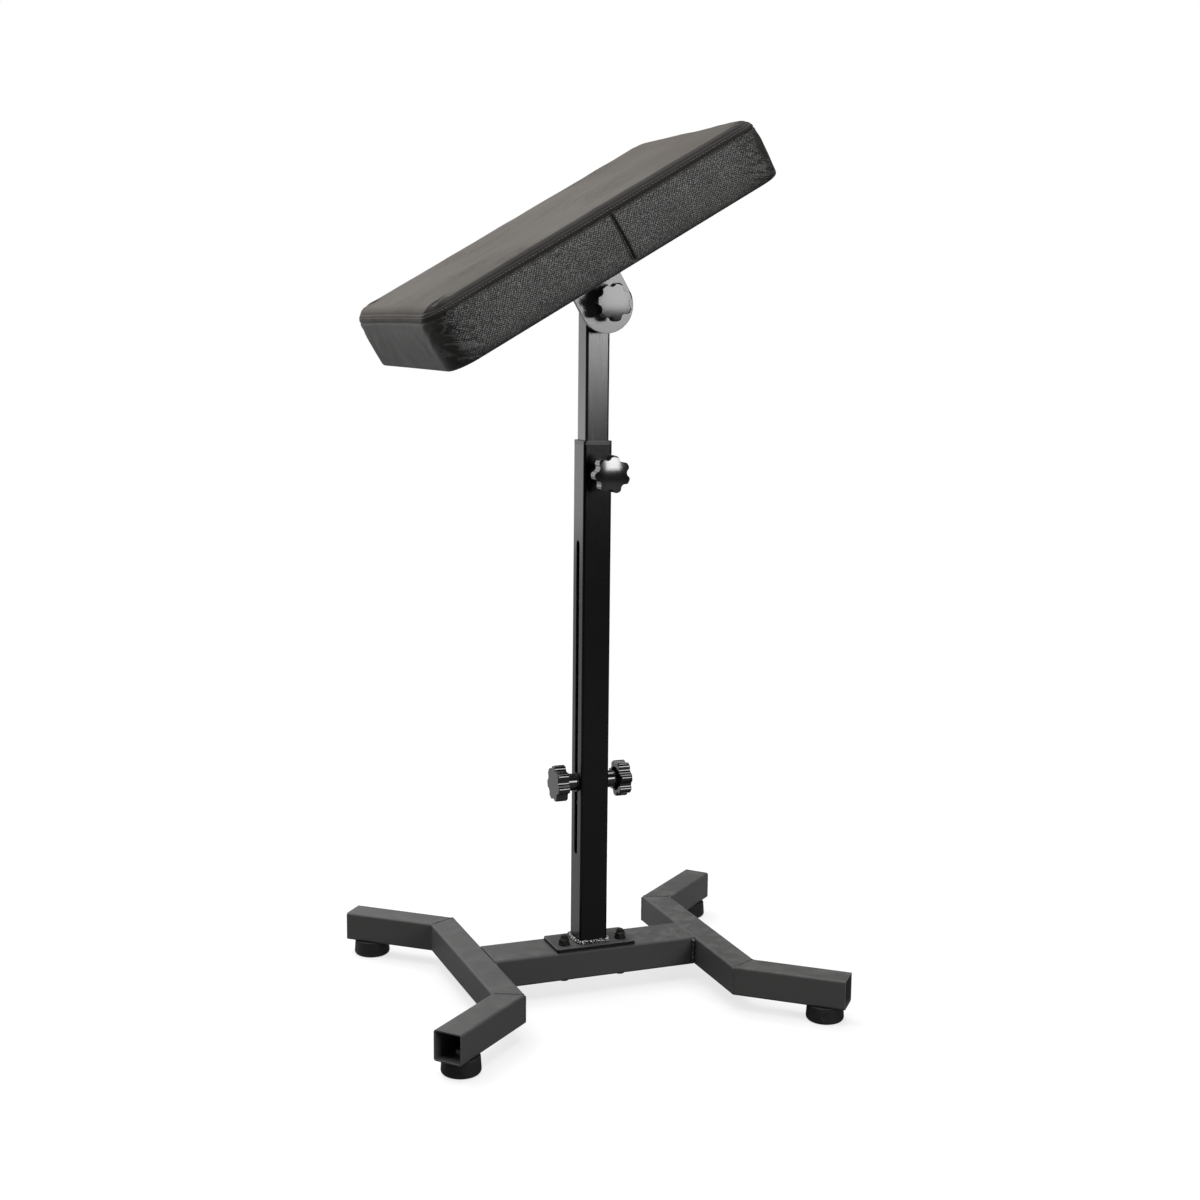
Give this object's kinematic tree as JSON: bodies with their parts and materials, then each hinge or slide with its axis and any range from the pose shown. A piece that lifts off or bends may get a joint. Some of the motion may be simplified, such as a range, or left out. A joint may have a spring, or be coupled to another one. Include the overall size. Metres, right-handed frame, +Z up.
{
  "type": "padded arm rest stand",
  "caption": "Free-standing padded rest: splayed tube base, slotted square post, sliding mast with clamp knobs, and a tilting upholstered pad.",
  "frame": {"origin": "middle of the footprint on the floor, under the post", "axes": "+Z up along the post; X along the crossbar, +X towards the pad's raised end; -Y is the front, where the clamp knob and the tilt knob are"},
  "size_m": [0.4326, 0.3894, 0.8719],
  "materials": {
    "frame": "satin black powder coat",
    "post_paint": "glossy black powder coat",
    "mast_paint": "satin black powder coat",
    "weld_bead": "powder-coated weld bead",
    "foot_rubber": "matt moulded rubber",
    "zinc_steel": "zinc plated",
    "black_steel": "black oxide",
    "knob_plastic": "glossy moulded",
    "insert_brass": "knurled brass",
    "guide_plastic": "moulded",
    "fibre": "pressed friction fibre",
    "board_wood": "raw plywood",
    "foam": "open-cell upholstery foam",
    "leatherette": "charcoal grained leatherette",
    "cloth": "black non-woven cloth"
  },
  "bodies": {
    "base": {"crossbar": "frame", "left_rail": "frame", "right_rail": "frame", "leg_front_left": "frame", "leg_front_right": "frame", "leg_back_left": "frame", "leg_back_right": "frame", "frame_welds": "weld_bead", "foot_front_left": "foot_rubber", "foot_front_right": "foot_rubber", "foot_back_left": "foot_rubber", "foot_back_right": "foot_rubber", "foot_washers": "zinc_steel", "foot_screws": "zinc_steel", "foot_nuts": "zinc_steel", "mount_plate": "post_paint", "plate_bolts": "black_steel", "plate_washers": "black_steel", "plate_nuts": "black_steel", "post": "post_paint", "post_weld": "weld_bead", "post_collar": "guide_plastic", "clamp_nut": "black_steel"},
    "mast": {"mast": "mast_paint", "mast_glide": "guide_plastic", "mast_cap": "guide_plastic", "cross_bolt": "zinc_steel", "tilt_boss": "frame", "friction_washer": "fibre", "pivot_bolt": "zinc_steel", "pivot_washer": "zinc_steel"},
    "pad": {"tilt_ear": "mast_paint", "ear_weld": "weld_bead", "pad_plate": "frame", "pad_screws": "zinc_steel", "tee_nuts": "zinc_steel", "pad_board": "board_wood", "pad_foam": "foam", "pad_cover": "leatherette", "dust_cloth": "cloth"},
    "clamp_stud": {"clamp_stud": "zinc_steel"},
    "clamp_knob": {"clamp_knob": "knob_plastic"},
    "left_washer": {"left_washer": "black_steel"},
    "left_knob": {"left_knob": "knob_plastic", "left_insert": "insert_brass"},
    "right_washer": {"right_washer": "black_steel"},
    "right_knob": {"right_knob": "knob_plastic", "right_insert": "insert_brass"},
    "tilt_washer": {"tilt_washer": "black_steel"},
    "tilt_knob": {"tilt_knob": "knob_plastic", "tilt_insert": "insert_brass"}
  },
  "joints": [
    {"name": "mast_slide", "type": "slide", "parent": "base", "child": "mast", "axis": [0, 0, 1], "range_m": [-0.073, 0.245]},
    {"name": "pad_tilt", "type": "hinge", "parent": "mast", "child": "pad", "pos_m": [0, -0.0286, 0.705], "axis": [0, 1, 0], "range_deg": [-59, 120]},
    {"name": "clamp_knob_travel", "type": "slide", "parent": "base", "child": "clamp_stud", "axis": [0, -1, 0], "range_m": [0, 0.0025]},
    {"name": "clamp_knob_turn", "type": "hinge", "parent": "clamp_stud", "child": "clamp_knob", "pos_m": [0, -0.032, 0.539], "axis": [0, -1, 0], "range_deg": [0, 720]},
    {"name": "left_knob_travel", "type": "slide", "parent": "mast", "child": "left_washer", "axis": [-1, 0, 0], "range_m": [0, 0.0025]},
    {"name": "left_knob_turn", "type": "hinge", "parent": "left_washer", "child": "left_knob", "pos_m": [-0.0168, 0, 0.2195], "axis": [-1, 0, 0], "range_deg": [0, 720]},
    {"name": "right_knob_travel", "type": "slide", "parent": "mast", "child": "right_washer", "axis": [1, 0, 0], "range_m": [0, 0.0025]},
    {"name": "right_knob_turn", "type": "hinge", "parent": "right_washer", "child": "right_knob", "pos_m": [0.0168, 0, 0.2195], "axis": [1, 0, 0], "range_deg": [0, 720]},
    {"name": "tilt_knob_travel", "type": "slide", "parent": "mast", "child": "tilt_washer", "axis": [0, -1, 0], "range_m": [0, 0.0025]},
    {"name": "tilt_knob_turn", "type": "hinge", "parent": "tilt_washer", "child": "tilt_knob", "pos_m": [0, -0.0324, 0.705], "axis": [0, -1, 0], "range_deg": [0, 720]}
  ],
  "couplings": [
    {"joint": "clamp_knob_turn", "follows": "clamp_knob_travel", "rad_per_m": 5026.5},
    {"joint": "left_knob_turn", "follows": "left_knob_travel", "rad_per_m": 5026.5},
    {"joint": "right_knob_turn", "follows": "right_knob_travel", "rad_per_m": 5026.5},
    {"joint": "tilt_knob_turn", "follows": "tilt_knob_travel", "rad_per_m": 5026.5}
  ]
}
